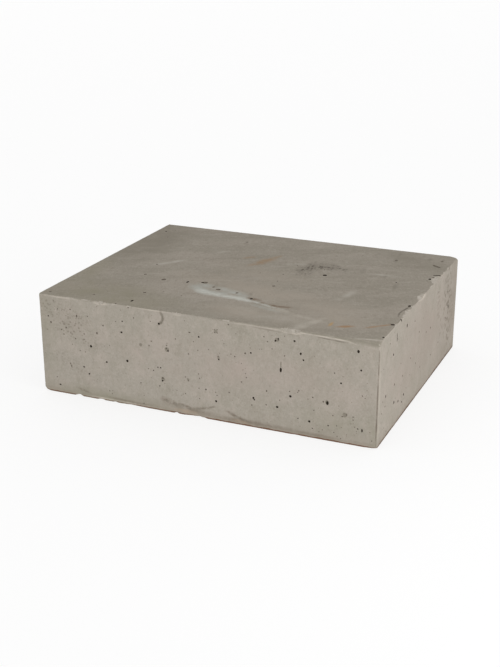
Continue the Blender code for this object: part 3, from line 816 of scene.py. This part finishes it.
def cloudedColour(tree, place, settings):  # the colour of the cement with its clouds of other tones
    turn = (0, 0, math.radians(settings.get("turn", 0)))
    swept = addNode(tree, "Mapping", {"Vector": place, "Rotation": turn}).outputs[0]
    colour = srgb(settings["colour"])
    for span, stretch, low, high, tone, share in settings["tones"]:
        spread = addNode(tree, "VectorMath", {0: swept, 1: stretch}, operation="MULTIPLY").outputs[0]
        cloud = addNode(tree, "TexNoise", {"Vector": spread, "Scale": 1 / span, **cementNoise})
        amount = addNode(tree, "MapRange", {0: cloud.outputs[0], 1: low, 2: high, 3: 0, 4: share})
        colour = mixed(tree, amount.outputs[0], colour, tone)
    return colour


def markedColour(tree, place, colour, mark):  # one kind of stain, mark, painted highlight or painted shade over the colour
    kind, tone, share, grain, strokes = mark
    union = 0.0
    for middle, turn, halfSizes, strength in strokeBlobs(strokes):
        inputs = {"Vector": place, "Location": middle, "Rotation": turn}
        inputs["Scale"] = halfSizes * markStyle["softness"]
        blob = addNode(tree, "Mapping", inputs, vector_type="TEXTURE").outputs[0]
        ball = addNode(tree, "TexGradient", {"Vector": blob}, gradient_type="SPHERICAL").outputs[1]
        gain = strength * markStyle["gain"]
        ball = addNode(tree, "Math", {0: ball, 1: gain}, operation="MULTIPLY").outputs[0]
        union = addNode(tree, "Math", {0: union, 1: ball}, operation="MAXIMUM").outputs[0]
    inputs = {"Vector": place, "Scale": 1 / grain, **markStyle["raggedNoise"]}
    ragged = addNode(tree, "TexNoise", inputs).outputs[0]
    ragged = addNode(tree, "MapRange", {0: ragged, **markStyle["raggedRange"]}).outputs[0]
    amount = addNode(tree, "Math", {0: union, 1: ragged}, operation="MULTIPLY").outputs[0]
    fade = {0: amount, 1: markStyle["fadeFrom"], 2: 1.0, 3: 0, 4: share}
    amount = addNode(tree, "MapRange", fade).outputs[0]
    if kind in markDots:
        spacing, size, rest = markDots[kind]
        packed = addNode(tree, "VectorMath", {0: place, 1: spacing}, operation="DIVIDE").outputs[0]
        cell = addNode(tree, "TexVoronoi", {"Vector": packed, "Scale": 1}).outputs["Distance"]
        dot = addNode(tree, "MapRange", {0: cell, 1: size, 2: size * dotCore, 3: rest, 4: 1}).outputs[0]
        amount = addNode(tree, "Math", {0: amount, 1: dot}, operation="MULTIPLY").outputs[0]
    return mixed(tree, amount, colour, tone)


def bandedColour(tree, place, colour, bands):  # other tones in wavering bands above the base, dark brown at the very foot
    height = addNode(tree, "SeparateXYZ", {0: place}).outputs[2]
    wobble = addNode(tree, "TexNoise", {"Vector": place, **bandNoise}).outputs[0]
    wobble = addNode(tree, "MapRange", {0: wobble, **bandRange}).outputs[0]
    height = addNode(tree, "Math", {0: height, 1: wobble}, operation="DIVIDE").outputs[0]
    top = bands[-1][0]
    height = addNode(tree, "Math", {0: height, 1: top}, operation="DIVIDE").outputs[0]
    ramp = addNode(tree, "ValToRGB", {0: height})
    for _ in bands[2:]:
        ramp.color_ramp.elements.new(1.0)
    for element, (level, tone, share) in zip(ramp.color_ramp.elements, bands):
        element.position = level / top
        element.color = srgb(tone, share)
    mix = addNode(tree, "Mix", {0: ramp.outputs[1], 6: colour, 7: ramp.outputs[0]}, data_type="RGBA")
    return mix.outputs[2]


def prickedColour(tree, place, colour, pinholes):  # pinholes too fine to cut
    spacing, size, count, tone, share = pinholes
    cell = addNode(tree, "TexVoronoi", {"Vector": place, "Scale": 1 / spacing})
    edge = {1: size, 2: size * dotCore, 3: 0, 4: share}
    dot = addNode(tree, "MapRange", {0: cell.outputs["Distance"], **edge})
    chosen = addNode(tree, "SeparateColor", {0: cell.outputs["Color"]}).outputs[0]
    chosen = addNode(tree, "Math", {0: chosen, 1: count}, operation="LESS_THAN").outputs[0]
    amount = addNode(tree, "Math", {0: dot.outputs[0], 1: chosen}, operation="MULTIPLY").outputs[0]
    return mixed(tree, amount, colour, tone)


def addMaterial(name):
    settings = concretes[name]
    made = bpy.data.materials.new(name)
    made.use_nodes = True
    tree = made.node_tree
    shader = tree.nodes["Principled BSDF"]
    for socket, value in bareCement.items():
        shader.inputs[socket].default_value = value
    place = addNode(tree, "TexCoord", {}).outputs["Object"]
    place = addNode(tree, "VectorMath", {0: place, "Scale": 1000}, operation="SCALE").outputs[0]  # to mm
    colour = cloudedColour(tree, place, settings)
    if "baseBands" in settings:
        colour = bandedColour(tree, place, colour, settings["baseBands"])
    for mark in marks.get(name, ()):
        colour = markedColour(tree, place, colour, mark)
    if "pinholes" in settings:
        colour = prickedColour(tree, place, colour, settings["pinholes"])
    tree.links.new(colour, shader.inputs["Base Color"])
    normal = addNode(tree, "NewGeometry", {}).outputs["Normal"]
    for span, height in settings["grit"]:
        relief = addNode(tree, "TexNoise", {"Vector": place, "Scale": 1 / span, **cementNoise})
        inputs = {"Height": relief.outputs[0], "Distance": height * mm, "Strength": 1.0, "Normal": normal}
        normal = addNode(tree, "Bump", inputs).outputs[0]
    tree.links.new(normal, shader.inputs["Normal"])
    return made


print("modelling the block")
block = addGriddedBlock()
refineArrisBands(block)

print("mixing the concretes")
blockSkins = ("formedConcrete", "trowelledConcreteAndTopShade", "brokenConcrete")
formedSlot, trowelledAndTopShadeSlot, brokenSlot = range(len(blockSkins))
for title in blockSkins:
    block.data.materials.append(addMaterial(title))
# void and pit skins: dust and dirt, darkened further as painted shade in the hollows
voidSkins = {
    "pit": addMaterial("pitDustAndShade"),
    "dull": addMaterial("voidDustAndShade"),
    "dark": addMaterial("airVoidDirtAndShade"),
}
for face in block.data.polygons:  # the top was trowelled, and the rest cast against the mould
    face.material_index = trowelledAndTopShadeSlot if face.normal.z > plinth["topTilt"] else formedSlot

print("wearing the faces and the arrises")
unevenFaces(block)
wearArrises(block, brokenSlot)

print("cutting the air voids")
cutVoids(block, voidSkins)
onlySelect(block)
bpy.ops.object.shade_smooth_by_angle(angle=math.radians(plinth["smoothAngle"]))
print("triangles", sum(len(face.vertices) - 2 for face in block.data.polygons))

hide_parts("plinth_block")
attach(block, "root")

# what a user would change about the picture
studio = {
    "lens": 62.29, "sensor": 36,  # millimetres
    "azimuth": 23.5011, "elevation": 20.5231, "roll": -0.191,  # the camera's angles in degrees
    "aside": 9.92, "above": 14.6, "distance": 1379.8,  # block's middle in the camera's own axes
    "floorSize": 60, "floorLevel": -0.0002,  # metres; just under the block, so that the two don't flicker
    "floorColour": "#808080", "floorRoughness": 0.9, "floorGlow": 0.765,
    "tent": 0.80,  # strength of the white light from all round
    # soft lights: place in metres, width, watts
    "softboxes": [((1.0, -0.45, 0.45), 0.5, 2.5), ((-0.5, -1.5, 0.6), 0.9, 1.5)],
    "aim": (0, 0, 0.06),  # the middle of the block, which the lights face
}


def addCamera():
    azimuth, elevation, roll = (math.radians(studio[k]) for k in ("azimuth", "elevation", "roll"))
    level = Vector((math.sin(azimuth), -math.cos(azimuth), 0))
    back = level * math.cos(elevation) + Vector((0, 0, math.sin(elevation)))
    right = Vector((0, 0, 1)).cross(back).normalized()
    up = back.cross(right)
    tiltedRight = right * math.cos(roll) + up * math.sin(roll)
    tiltedUp = up * math.cos(roll) - right * math.sin(roll)
    middle = Vector((0, 0, blockHeight / 2))
    place = middle - studio["aside"] * tiltedRight - studio["above"] * tiltedUp
    place += studio["distance"] * back
    lens = bpy.data.cameras.new("photoCamera")
    lens.lens, lens.sensor_width = studio["lens"], studio["sensor"]
    camera = bpy.data.objects.new("photoCamera", lens)
    bpy.context.scene.collection.objects.link(camera)
    axes = Matrix((tiltedRight, tiltedUp, back)).transposed().to_4x4()
    camera.matrix_world = Matrix.Translation(place * mm) @ axes
    bpy.context.scene.camera = camera


def addFloor():  # pale acrylic lit from beneath, so that hardly a shadow shows
    bpy.ops.object.select_all(action="DESELECT")
    bpy.ops.mesh.primitive_plane_add(size=studio["floorSize"], location=(0, 0, studio["floorLevel"]))
    floor = bpy.context.active_object
    floor.name = "studioFloor"
    acrylic = bpy.data.materials.new("litAcrylic")
    acrylic.use_nodes = True
    shader = acrylic.node_tree.nodes["Principled BSDF"]
    shader.inputs["Base Color"].default_value = srgb(studio["floorColour"])
    shader.inputs["Roughness"].default_value = studio["floorRoughness"]
    shader.inputs["Emission Color"].default_value = (1, 1, 1, 1)
    shader.inputs["Emission Strength"].default_value = studio["floorGlow"]
    floor.data.materials.append(acrylic)


def addLight():
    world = bpy.data.worlds.new("softTent")
    bpy.context.scene.world = world
    world.use_nodes = True
    background = world.node_tree.nodes["Background"]
    background.inputs["Color"].default_value = (1, 1, 1, 1)
    background.inputs["Strength"].default_value = studio["tent"]
    for place, width, watts in studio["softboxes"]:
        lamp = bpy.data.lights.new("softbox", "AREA")
        lamp.size, lamp.energy = width, watts
        box = bpy.data.objects.new("softbox", lamp)
        bpy.context.scene.collection.objects.link(box)
        box.location = place
        aim = Vector(studio["aim"]) - Vector(place)
        box.rotation_euler = aim.to_track_quat("-Z", "Y").to_euler()


print("setting the camera, the floor and the light")
addCamera()
addFloor()
addLight()
bpy.context.scene.view_settings.view_transform = "Standard"
